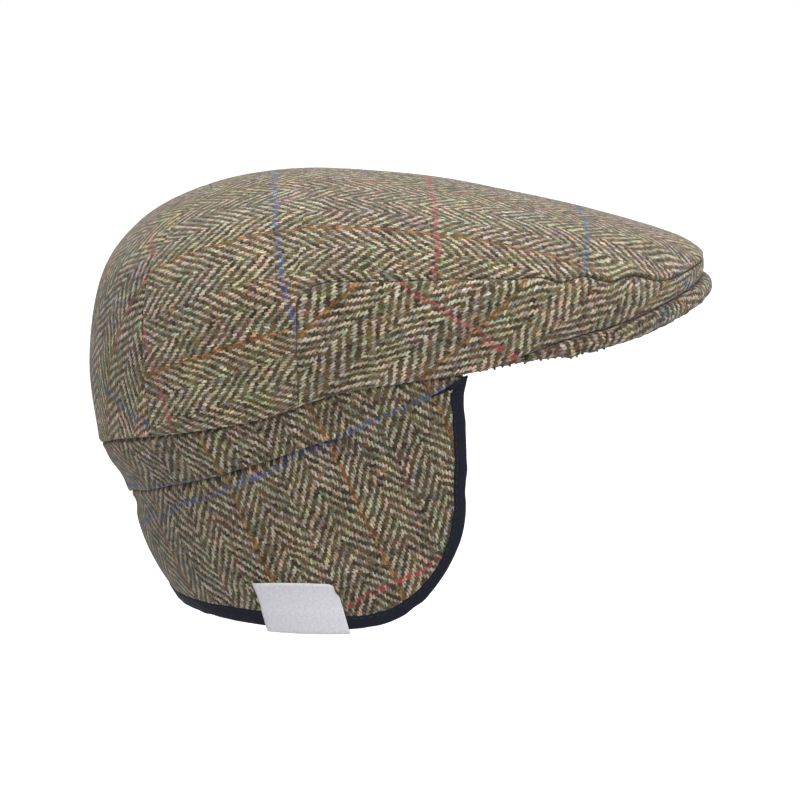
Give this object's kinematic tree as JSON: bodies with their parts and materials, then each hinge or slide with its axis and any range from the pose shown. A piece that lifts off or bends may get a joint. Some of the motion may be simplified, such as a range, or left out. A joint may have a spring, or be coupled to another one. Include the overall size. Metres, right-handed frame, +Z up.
{
  "type": "flat cap with earflaps",
  "caption": "Tweed flat cap with a sewn peak and one deep flap that hangs from the rim round the back from ear to ear, bound in dark tape.",
  "frame": {"origin": "middle of the head opening, at the height of the rim beside the ears, with the cap as it is worn", "axes": "+X forward to the peak, +Y to the wearer's left, +Z up"},
  "size_m": [0.277, 0.1766, 0.1926],
  "materials": {
    "crown_top": "matte wool herringbone tweed",
    "side_panel_right": "matte wool herringbone tweed, cut on the bias",
    "side_panel_left": "matte wool herringbone tweed, cut on the bias",
    "back_panel": "matte wool herringbone tweed",
    "peak": "matte wool herringbone tweed over a stiff board",
    "earflap": "matte wool herringbone tweed",
    "flap_binding": "dark blue folded tape",
    "label": "pale woven satin"
  },
  "bodies": {
    "root": {"crown_top": "crown_top", "side_panel_right": "side_panel_right", "side_panel_left": "side_panel_left", "back_panel": "back_panel", "peak": "peak", "earflap": "earflap", "flap_binding": "flap_binding", "label": "label"}
  },
  "joints": []
}
